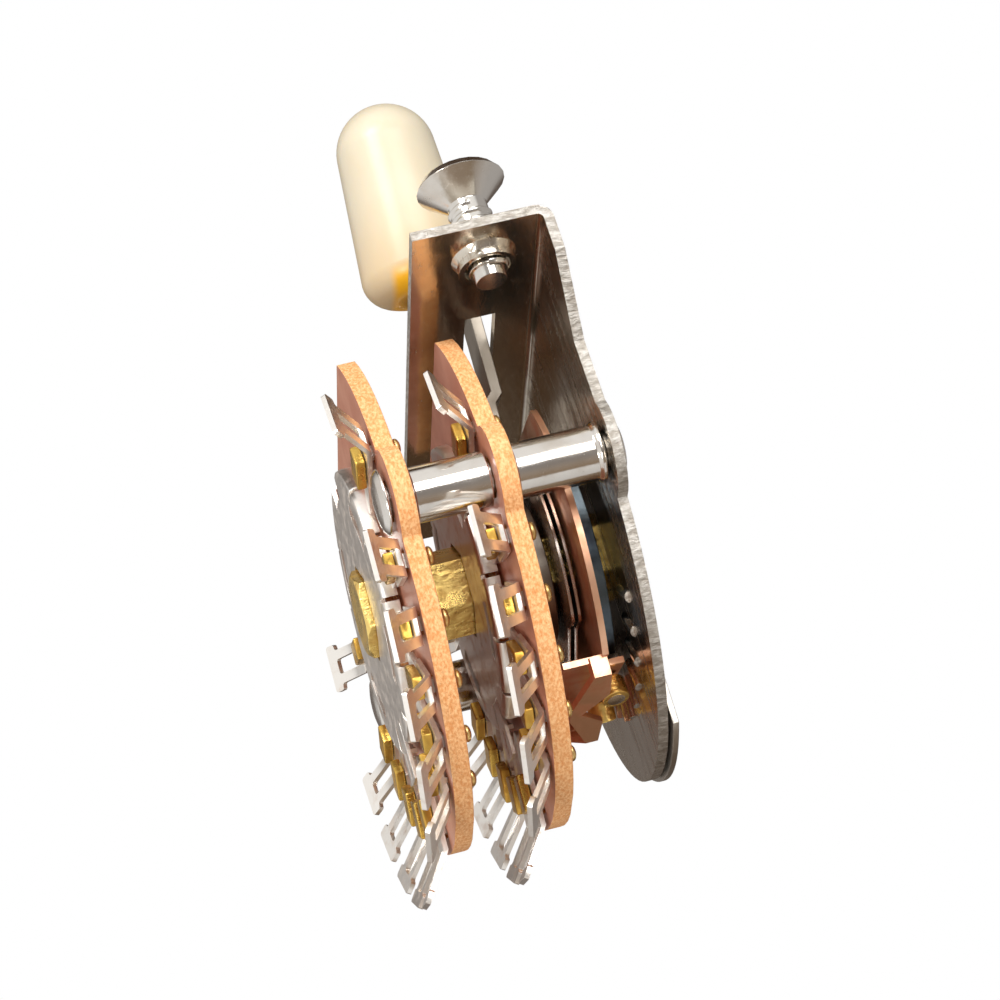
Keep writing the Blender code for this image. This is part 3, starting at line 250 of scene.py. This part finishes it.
def silver_plate():
    """Soft silver plate with patches and specks of warm tarnish."""
    look = new_look("silver_plate")
    tarnish = look.noise(1.3).above(0.46, 0.70)
    specks = look.noise(0.12, detail=2.0).above(0.7, 0.8)
    grain = look.noise(0.22, (0.5, 1.0, 1.0), 4.0)
    colour = look.mix(tarnish * 0.35 + specks * 0.4, (0.97, 0.93, 0.87), (0.66, 0.50, 0.38))
    rough = 0.30 + tarnish * 0.14 + grain.above(0.5, 0.8) * 0.12
    return look.shade(Base_Color=colour, Metallic=1.0, Roughness=rough, Normal=look.bump(grain, 0.01, 0.35))


def blued_steel():
    look = new_look("blued_steel")
    patches = look.noise(2.6).above(0.4, 0.7)
    marks = look.noise(0.35, detail=4.0)
    colour = look.mix(patches, (0.10, 0.13, 0.16), (0.035, 0.04, 0.05))
    rough = 0.3 + marks.above(0.45, 0.8) * 0.2
    return look.shade(Base_Color=colour, Metallic=1.0, Roughness=rough, Normal=look.bump(marks, 0.02, 0.6))


def paper_board():
    """Phenolic paper board: smooth varnished faces and a dry, fibrous sawn edge."""
    look = new_look("paper_board")
    _, along, _ = look.facing()
    edge = 1.0 - abs(along).above(0.45, 0.75)
    fibre = look.noise(0.34, (1.0, 1.6, 1.0), 5.0, 0.65)
    flecks = look.noise(0.16, detail=3.0).above(0.56, 0.70)
    layers = look.noise(0.2, (0.08, 1.0, 0.08), 3.0)
    cloud = look.noise(3.5).above(0.35, 0.7)
    sawn = look.mix(fibre.above(0.36, 0.66), (0.78, 0.31, 0.092), (0.99, 0.58, 0.27))
    sawn = look.mix(flecks * 0.45 + layers.above(0.6, 0.75) * 0.25, sawn, (0.52, 0.17, 0.045))
    face = look.mix(cloud, (0.52, 0.20, 0.12), (0.62, 0.28, 0.18))
    face = look.mix(flecks * 0.12, face, (0.30, 0.12, 0.08))
    rough = 0.34 + edge * 0.42
    relief = look.bump(fibre * edge + look.noise(0.6) * (1.0 - edge) * 0.15, 0.10, 0.7)
    return look.shade(Base_Color=look.mix(edge, face, sawn), Roughness=rough, Normal=relief)


def ivory_moulding():
    """Cream moulded plastic, a little waxy, with painted shade darkening and warming its base and a painted
    amber glow beside the seat of its blade.
    """
    look = new_look("ivory_moulding")
    cloud = look.noise(6.0)
    pores = look.noise(0.5, detail=3.0)
    x, y, z = look.axes(look.place())
    lean = math.radians(REST_LEAN)
    height = (z - SHAFT_Z / MM) * math.cos(lean) + x * math.sin(lean)
    # In millimetres from the shaft's axis along the tip, and along Y for the last pair
    painted_shade_full, painted_shade_gone = 24.5, 34.0
    glow_edge, glow_end = 25.2, 26.6
    glow_front, glow_back = -2.1, -1.3
    colour = look.mix(cloud.above(0.3, 0.7), (0.68, 0.60, 0.45), (0.66, 0.57, 0.41))
    # Painted shade: the colour turns darker and warmer towards the tip's base and fades out higher up,
    # standing for the shade and warm glow low on the tip
    colour = look.mix((1.0 - height.above(painted_shade_full, painted_shade_gone)) * 0.75, colour, (0.66, 0.47, 0.25))
    # Painted glow: an amber patch on the outer wall beside the blade's seat, standing for light shining
    # through the translucent wall
    seat = (1.0 - height.above(glow_edge, glow_end)) * y.above(glow_front, glow_back)
    colour = look.mix(seat, colour, (0.95, 0.48, 0.02))
    return look.shade(Base_Color=colour, Roughness=0.3 + pores.above(0.4, 0.8) * 0.08,
                      Subsurface_Weight=0.12, Subsurface_Radius=(0.004, 0.0025, 0.001),
                      Subsurface_Scale=0.6, Normal=look.bump(pores, 0.01, 0.35))


def amber_socket():
    """The socket's wall, where the blade's seat shows amber."""
    look = new_look("amber_socket")
    drips = look.noise(0.8)
    colour = look.mix(drips.above(0.35, 0.65), (0.86, 0.36, 0.02), (0.62, 0.20, 0.01))
    return look.shade(Base_Color=colour, Roughness=0.3, Normal=look.bump(drips, 0.1, 0.5))


LOOKS = {
    "bracket": bracket_plate(),
    "nickel": nickel_plate("bright_nickel"),
    # The lever's nickel has a darkened tint and stain: painted dark reflection and shade on its neck
    "lever": nickel_plate("lever_nickel_painted_dark", (0.34, 0.30, 0.25), (0.18, 0.14, 0.10), 0.38, (1.0, 1.0, 0.3)),
    "spring": nickel_plate("spring_nickel", (0.52, 0.46, 0.41), (0.30, 0.20, 0.14), 0.24),
    "plate": nickel_plate("rear_plate_nickel", (0.56, 0.53, 0.48), (0.38, 0.32, 0.25), 0.36),
    "tube": nickel_plate("drawn_tube_nickel", (0.74, 0.70, 0.65), (0.46, 0.38, 0.29), 0.12, (1.0, 0.15, 1.0)),
    "brass": turned_brass("turned_brass", dented=0.9),
    "gold": turned_brass("clench_brass", (0.95, 0.68, 0.28), 0.2),
    "staple": turned_brass("staple_brass", (0.70, 0.45, 0.10), 0.3),
    "bronze": pressed_bronze(),
    "silver": silver_plate(),
    "blued": blued_steel(),
    "board": paper_board(),
    "ivory": ivory_moulding(),
    "amber": amber_socket(),
}


def finish_piece(bm, name, look, body, sharp=PRESSED_SHARP):
    """Write a bmesh to a new piece that rides on a body."""
    mesh = bpy.data.meshes.new(name)
    bm.to_mesh(mesh)
    bm.free()
    piece = bpy.data.objects.new(name, mesh)
    bpy.context.scene.collection.objects.link(piece)
    mesh.materials.append(LOOKS[look])
    mesh.shade_smooth()
    mesh.set_sharp_from_angle(angle=math.radians(sharp))
    even = piece.modifiers.new("even_normals", "WEIGHTED_NORMAL")
    even.keep_sharp = True
    even.weight = LARGE_FACE_WEIGHT
    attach(piece, body)
    return piece


def merged_copy(node):
    """A bmesh of a CAD node with its triangles joined up again into faces."""
    bm = bmesh.new()
    bm.from_mesh(NODES[node].data)
    bmesh.ops.remove_doubles(bm, verts=bm.verts, dist=WELD_DISTANCE)
    bmesh.ops.dissolve_limit(bm, angle_limit=math.radians(FLAT_ANGLE), verts=bm.verts, edges=bm.edges)
    return bm


def soften(bm, width, segments=2, above=30.0, picked=None):
    """Round the edges that are sharper than an angle, or the picked ones of them."""
    limit = math.radians(above)
    edges = [edge for edge in picked or bm.edges if edge.is_manifold and edge.calc_face_angle() > limit]
    bmesh.ops.bevel(bm, geom=edges, offset=width, offset_type="OFFSET", segments=segments, profile=0.5,
                    affect="EDGES", clamp_overlap=True, material=-1)


def softened(node, look, body, width=0.07 * MM, segments=2):
    """Replace a CAD node by a copy with softened edges."""
    bm = merged_copy(node)
    soften(bm, width, segments)
    piece = finish_piece(bm, node + "_dressed", look, body)
    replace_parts(piece, node)


def refill(bm, y):
    """Fill the flat face at a height along Y afresh, round its holes."""
    flat = [face for face in bm.faces if all(abs(vert.co.y - y) < WELD_DISTANCE for vert in face.verts)]
    facing = Vector((0.0, math.copysign(1.0, sum(face.normal.y for face in flat)), 0.0))
    bmesh.ops.delete(bm, geom=flat, context="FACES")
    rim = [edge for edge in bm.edges if edge.is_boundary]
    bmesh.ops.triangle_fill(bm, use_beauty=True, use_dissolve=False, edges=rim, normal=facing)


def from_shaft(radius, angle, y):
    """A point at a radius and an angle about the shaft's axis, in degrees from +X towards +Z."""
    turn = math.radians(angle)
    return Vector((radius * math.cos(turn), y, SHAFT_Z + radius * math.sin(turn)))


def spun(profile, place, steps=64):
    """Spin a profile of (radius, height), given from its top down, about Z, and then place it."""
    bm = bmesh.new()
    verts = [bm.verts.new((radius, 0.0, height)) for radius, height in profile]
    edges = [bm.edges.new(pair) for pair in zip(verts, verts[1:])]
    bmesh.ops.spin(bm, geom=verts + edges, cent=(0, 0, 0), axis=(0, 0, 1), angle=2 * math.pi, steps=steps,
                   use_merge=True)
    bmesh.ops.remove_doubles(bm, verts=bm.verts, dist=SEAM_DISTANCE)
    bmesh.ops.transform(bm, matrix=place, verts=bm.verts)
    bmesh.ops.recalc_face_normals(bm, faces=bm.faces)
    return bm


def along_y(x, y):
    """Place a spun shape so that it runs along +Y from a point level with the shaft."""
    return Matrix.Translation((x, y, SHAFT_Z)) @ Matrix.Rotation(-math.pi / 2, 4, "X")


def rounded(points, radius, steps=4):
    """A profile with its inner corners rounded to a radius."""
    largest_share = 0.45
    out = [Vector(points[0])]
    for before, corner, after in zip(points, points[1:], points[2:]):
        before, corner, after = Vector(before), Vector(corner), Vector(after)
        reach = min(radius, (before - corner).length * largest_share, (after - corner).length * largest_share)
        start = corner + (before - corner).normalized() * reach
        end = corner + (after - corner).normalized() * reach
        for i in range(steps + 1):
            t = i / steps
            out.append(start * (1 - t) ** 2 + corner * 2 * t * (1 - t) + end * t ** 2)
    out.append(Vector(points[-1]))
    return [tuple(point) for point in out]


def dress_bracket():
    softened("bracket", "bracket", FIXED, 0.08 * MM)


def dress_tube(node, with_collar):
    """A drawn tube, with a swaged collar where it meets the wall, or without."""
    low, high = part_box(node)
    length = high[1] - low[1]
    bore, tube, collar = 1.6 * MM, 2.15 * MM, 2.35 * MM
    profile = [(bore, length), (tube, length), (tube, 0.0), (bore, 0.0), (bore, length)]
    if with_collar:
        profile = [(bore, length), (collar, length), (collar, length - 0.25 * MM),
                   (tube, length - 0.55 * MM), (tube, 0.0), (bore, 0.0), (bore, length)]
    place = along_y((low[0] + high[0]) / 2, low[1])
    bm = spun(rounded(profile, 0.08 * MM, 3), place)
    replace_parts(finish_piece(bm, node + "_drawn", "tube", FIXED, TURNED_SHARP), node)


def dress_rivet(node):
    """A rivet with a domed head and a clenched foot."""
    low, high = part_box(node)
    length = high[1] - low[1]
    shank, head, foot = 1.3 * MM, 2.6 * MM, 2.0 * MM
    dome = [(0.0, 0.0), (head * 0.45, 0.05 * MM), (head * 0.8, 0.24 * MM), (head * 0.97, 0.55 * MM),
            (head, 0.8 * MM), (shank, 0.8 * MM)]
    heel = [(shank, length - 0.35 * MM), (foot, length - 0.35 * MM), (foot * 0.9, length - 0.1 * MM),
            (foot * 0.5, length), (0.9 * MM, length), (0.7 * MM, length - 0.5 * MM),
            (0.0, length - 0.6 * MM)]
    profile = list(reversed(dome + heel))
    place = along_y((low[0] + high[0]) / 2, low[1])
    bm = spun(rounded(profile, 0.15 * MM, 3), place)
    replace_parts(finish_piece(bm, node + "_domed", "nickel", FIXED, TURNED_SHARP), node)


def dress_tubes_and_rivets():
    for side in ("near", "far"):
        dress_tube(f"tube_mid_{side}", False)
        dress_tube(f"tube_rear_{side}", True)
        dress_rivet(f"rivet_{side}")


def dress_screws():
    """The screws' own shape with softened edges, and a rolled thread wound round each shank."""
    root, crest, pitch = 1.5 * MM, 1.72 * MM, 0.78 * MM
    half_root, half_crest = pitch * 0.36, pitch * 0.06
    lowest, turns, steps_per_turn = -2.1 * MM, 7, 40
    lift = pitch / steps_per_turn
    ridge = [(root, -half_root), (crest, -half_crest), (crest, half_crest), (root, half_root)]
    for side in ("near", "far"):
        node = f"screw_{side}"
        softened(node, "nickel", FIXED, 0.08 * MM)
        low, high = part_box(node)
        x, y = (low[0] + high[0]) / 2, (low[1] + high[1]) / 2
        bm = bmesh.new()
        face = bm.faces.new([bm.verts.new((x + radius, y, lowest + rise)) for radius, rise in ridge])
        bmesh.ops.spin(bm, geom=[face], cent=(x, y, 0.0), axis=(0, 0, 1), dvec=(0, 0, lift),
                       angle=2 * math.pi * turns, steps=turns * steps_per_turn)
        bmesh.ops.recalc_face_normals(bm, faces=bm.faces)
        finish_piece(bm, f"thread_{side}", "nickel", FIXED, TURNED_SHARP)


def dress_wafers():
    """Boards and rotors with softened edges, and the boards' flat faces filled afresh."""
    for row in ("front", "rear"):
        node = f"wafer_{row}"
        bm = merged_copy(node)
        soften(bm, 0.1 * MM)
        low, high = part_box(node)
        refill(bm, low[1])
        refill(bm, high[1])
        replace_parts(finish_piece(bm, node + "_dressed", "board", FIXED), node)
        softened(f"rotor_{row}", "board", SWINGING, 0.08 * MM)


def head_corners(bm):
    """The short edges through the sheet at the corners of a terminal's head bar."""
    sheet, slack, head_from, square_enough = 0.4 * MM, 0.02 * MM, 20.6 * MM, 1.0

    def off_axis(vert):
        return math.hypot(vert.co.x, vert.co.z - SHAFT_Z)

    return [edge for edge in bm.edges
            if edge.is_manifold and abs(edge.calc_length() - sheet) < slack
            and edge.calc_face_angle() > square_enough and min(map(off_axis, edge.verts)) > head_from]


def dress_terminals():
    """Terminals with rounded head bars and softened edges."""
    for node in [name for name in NODES if name.startswith("terminal_")]:
        bm = merged_copy(node)
        soften(bm, 0.24 * MM, 3, 50.0, head_corners(bm))
        soften(bm, 0.055 * MM, 2, 40.0)
        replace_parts(finish_piece(bm, node + "_pressed", "silver", FIXED), node)


def staples_and_clenches():
    """A brass staple at each terminal's root, and the clenched end of its tab behind the board."""
    staple_radius, staple_lift, staple_size = 16.9 * MM, 1.15 * MM, (3.0 * MM, 0.8 * MM, 1.9 * MM, 1.0)
    clench_radius, clench_lift, clench_size = 18.2 * MM, 0.35 * MM, (0.62 * MM, 0.36 * MM, 0.72 * MM, 1.0)
    for row in ("front", "rear"):
        low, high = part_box(f"wafer_{row}")
        staples = bmesh.new()
        clenches = bmesh.new()
        for angle in TERMINAL_ANGLES:
            outward = Matrix.Rotation(-math.radians(angle), 4, "Y")
            spot = Matrix.Translation(from_shaft(staple_radius, angle, low[1] - staple_lift))
            bmesh.ops.create_cube(staples, size=1.0, matrix=spot @ outward @ Matrix.Diagonal(staple_size))
            spot = Matrix.Translation(from_shaft(clench_radius, angle, high[1] + clench_lift))
            bmesh.ops.create_icosphere(clenches, subdivisions=3, radius=1.0,
                                       matrix=spot @ outward @ Matrix.Diagonal(clench_size))
        soften(staples, 0.18 * MM, 3)
        finish_piece(staples, f"staples_{row}", "staple", FIXED)
        finish_piece(clenches, f"clenches_{row}", "gold", FIXED, BEAD_SHARP)


def dress_contacts():
    for row in ("front", "rear"):
        softened(f"rotor_contact_{row}", "silver", SWINGING, 0.05 * MM)


def pin_end(node, below):
    """The low pale dome on a roller's outer end, at an angle below +X about the shaft."""
    end, sunk, radius, height = 12.9 * MM, 0.03 * MM, 0.72 * MM, 0.12 * MM
    dome = [(0.0, height), (radius * 0.6, height * 0.9), (radius, height * 0.4), (radius, -sunk)]
    dome.append((0.0, -sunk))
    place = Matrix.Translation(from_shaft(end, -below, ROLLER_Y))
    place = place @ Matrix.Rotation(math.radians(below + 90.0), 4, "Y")
    finish_piece(spun(dome, place, 32), node + "_pin_end", "nickel", node, TURNED_SHARP)


def dress_index_parts():
    softened("shaft", "brass", SWINGING, 0.1 * MM, 3)
    softened("shaft_collar", "brass", SWINGING, 0.07 * MM)
    softened("lever", "lever", SWINGING, 0.09 * MM)
    softened("leaf_spring_front", "spring", SWINGING, 0.05 * MM)
    softened("leaf_spring_rear", "spring", SWINGING, 0.05 * MM)
    softened("roller_carrier", "bronze", SWINGING, 0.08 * MM)
    softened("index_washer", "blued", SWINGING, 0.1 * MM)
    softened("rear_plate", "plate", SWINGING, 0.08 * MM)
    softened("retaining_clip", "blued", SWINGING, 0.08 * MM)
    for node, side in (("roller_near", 1.0), ("roller_far", -1.0)):
        softened(node, "brass", node, 0.1 * MM, 3)
        pin_end(node, 90.0 + REST_LEAN - side * ROLLER_ANGLE)


def cut_socket(tip, seat, bottom):
    """Cut the blade's slot and its wider mouth into the tip, and give their walls their own look."""
    # Half widths along X and Y, and lowest and highest point from the tip's bottom
    slot = (2.8 * MM, 0.75 * MM, -1.0 * MM, 10.4 * MM)
    mouth = (3.3 * MM, 1.25 * MM, -1.0 * MM, 1.0 * MM)
    cutter = bmesh.new()
    for half_x, half_y, low, high in (slot, mouth):
        size = Matrix.Diagonal((2 * half_x, 2 * half_y, high - low, 1.0))
        spot = Matrix.Translation((0.0, 0.0, bottom + (low + high) / 2))
        bmesh.ops.create_cube(cutter, size=1.0, matrix=seat @ spot @ size)
    mesh = bpy.data.meshes.new("socket_cutter")
    cutter.to_mesh(mesh)
    cutter.free()
    mesh.materials.append(LOOKS["amber"])
    tool = bpy.data.objects.new("socket_cutter", mesh)
    bpy.context.scene.collection.objects.link(tool)
    tip.data.materials.append(LOOKS["amber"])
    cut = tip.modifiers.new("socket", "BOOLEAN")
    cut.object = tool
    cut.operation = "DIFFERENCE"
    cut.use_self = True
    cut.material_mode = "TRANSFER"
    bpy.context.view_layer.update()
    shaped = bpy.data.meshes.new_from_object(tip.evaluated_get(bpy.context.evaluated_depsgraph_get()))
    tip.modifiers.clear()
    tip.data = shaped
    bpy.data.objects.remove(tool)
    shaped.set_sharp_from_angle(angle=math.radians(SOCKET_SHARP))


def dress_tip():
    """The moulded tip: a tapered, domed form with its blade socket cut from below."""
    bottom, length = 24.4 * MM, 16.8 * MM
    wide, dome, foot = 4.8 * MM, 4.1 * MM, 2.2 * MM
    top = bottom + length
    turns = [math.radians(angle) for angle in range(0, 90, 6)]
    profile = [(dome * math.sin(turn), top - dome + dome * math.cos(turn)) for turn in turns]
    turns = [math.radians(angle) for angle in range(0, 91, 10)]
    profile += [(wide - foot + foot * math.cos(turn), bottom + foot - foot * math.sin(turn))
                for turn in turns]
    profile.append((0.0, bottom))
    lean = Matrix.Translation((0.0, 0.0, SHAFT_Z)) @ Matrix.Rotation(math.radians(REST_LEAN), 4, "Y")
    seat = lean @ Matrix.Translation((0.0, 1.0 * MM, 0.0))
    tip = finish_piece(spun(profile, seat, 96), "tip_moulding", "ivory", SWINGING, TURNED_SHARP)
    cut_socket(tip, seat, bottom)
    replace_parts(tip, "switch_tip")


def place_camera():
    """The photograph's camera: long lens, turned a little, looking up, and rolled."""
    azimuth, elevation, roll = (math.radians(a) for a in (10.031, -25.792, -17.803))
    focal, across, up_shift, distance = 3.52575, -7.706 * MM, 8.487 * MM, 287.709 * MM
    middle = Vector((0.0, -2.2 * MM, 0.0))
    sensor = 36.0
    nearest, farthest = 0.01, 10.0
    back = Vector((math.cos(elevation) * math.cos(azimuth), -math.cos(elevation) * math.sin(azimuth),
                   math.sin(elevation)))
    level = (-back).cross(Vector((0.0, 0.0, 1.0))).normalized()
    upright = level.cross(-back)
    right = math.cos(roll) * level + math.sin(roll) * upright
    up = -math.sin(roll) * level + math.cos(roll) * upright
    spot = distance * back - right * across - up * up_shift + middle
    camera = bpy.data.objects.new("camera", bpy.data.cameras.new("camera"))
    camera.data.sensor_width = sensor
    camera.data.lens = focal * sensor
    camera.data.clip_start = nearest
    camera.data.clip_end = farthest
    turn = Matrix((right, up, back)).transposed().to_4x4()
    camera.matrix_world = Matrix.Translation(spot) @ turn
    bpy.context.scene.collection.objects.link(camera)
    bpy.context.scene.camera = camera


def add_lamp(name, spot, size, power):
    lamp = bpy.data.lights.new(name, "AREA")
    lamp.shape = "RECTANGLE"
    lamp.size, lamp.size_y = size
    lamp.energy = power
    holder = bpy.data.objects.new(name, lamp)
    holder.location = spot
    holder.rotation_euler = (Vector(LAMP_AIM) - Vector(spot)).to_track_quat("-Z", "Y").to_euler()
    bpy.context.scene.collection.objects.link(holder)


def surroundings():
    """White to the camera, pale to dull surfaces, and to shiny ones a dark room with bright screens."""
    world = bpy.data.worlds.new("studio")
    bpy.context.scene.world = world
    look = Look(world)
    look.tree.nodes.clear()
    path = look.node("ShaderNodeLightPath").output.node
    to_camera = Socket(look, path.outputs["Is Camera Ray"])
    seen = to_camera.larger(Socket(look, path.outputs["Is Transmission Ray"]))
    mirrored = Socket(look, path.outputs["Is Glossy Ray"])
    x, y, z = look.axes(look.node("ShaderNodeTexCoord", output="Generated"))
    # Patches by direction: X is towards the camera, Y to the picture's right and Z up
    screen = (x * 0.64 + z * 0.77 + abs(y) * 0.25).above(0.78, 0.96)
    room = x.above(0.25, 0.95) * 0.24
    left = (0.0 - y).above(0.27, 0.72) * 0.9
    behind = (z * 0.42 - x * 0.88 - y * 0.22).above(0.62, 0.92) * 0.12
    below = (0.0 - z).above(0.4, 0.9) * 0.24
    rear = y.above(0.38, 0.85) * 0.42
    bright = screen.larger(room).larger(left).larger(rear).larger(behind)
    dark_room, warm_ground, white_screen = (0.062, 0.034, 0.017), (1.0, 0.76, 0.52), (1.0, 0.99, 0.98)
    pale_wall, backdrop = (0.50, 0.49, 0.48), (1.0, 1.0, 1.0)
    shine = look.mix(bright, look.mix(below, dark_room, warm_ground), white_screen)
    colour = look.mix(seen, look.mix(mirrored, pale_wall, shine), backdrop)
    sky = look.node("ShaderNodeBackground", None, {"Color": colour, "Strength": 1.0})
    out = look.tree.nodes.new("ShaderNodeOutputWorld")
    look.tree.links.new(sky.output, out.inputs["Surface"])


def lay_floor():
    """A pale sheet far below the switch, which lights its underside a little."""
    half_size, height = 0.16, -0.44
    place = Matrix.Translation((0.0, 0.0, height))
    bm = bmesh.new()
    bmesh.ops.create_grid(bm, x_segments=1, y_segments=1, size=half_size, matrix=place)
    mesh = bpy.data.meshes.new("floor")
    bm.to_mesh(mesh)
    bm.free()
    floor = bpy.data.objects.new("floor", mesh)
    bpy.context.scene.collection.objects.link(floor)
    mesh.materials.append(new_look("floor_paint").shade(Base_Color=(0.86, 0.86, 0.86), Roughness=0.9))


def studio():
    surroundings()
    lay_floor()
    add_lamp("key", (0.42, -0.22, 0.24), (0.20, 0.20), 1.7)
    add_lamp("fill", (0.42, 0.12, 0.02), (0.30, 0.24), 1.1)
    add_lamp("low", (0.26, -0.24, -0.24), (0.10, 0.10), 0.5)


place_camera()
dress_bracket()
dress_tubes_and_rivets()
dress_screws()
dress_wafers()
dress_terminals()
staples_and_clenches()
dress_contacts()
dress_index_parts()
dress_tip()
studio()
bpy.context.scene.view_settings.view_transform = "Standard"
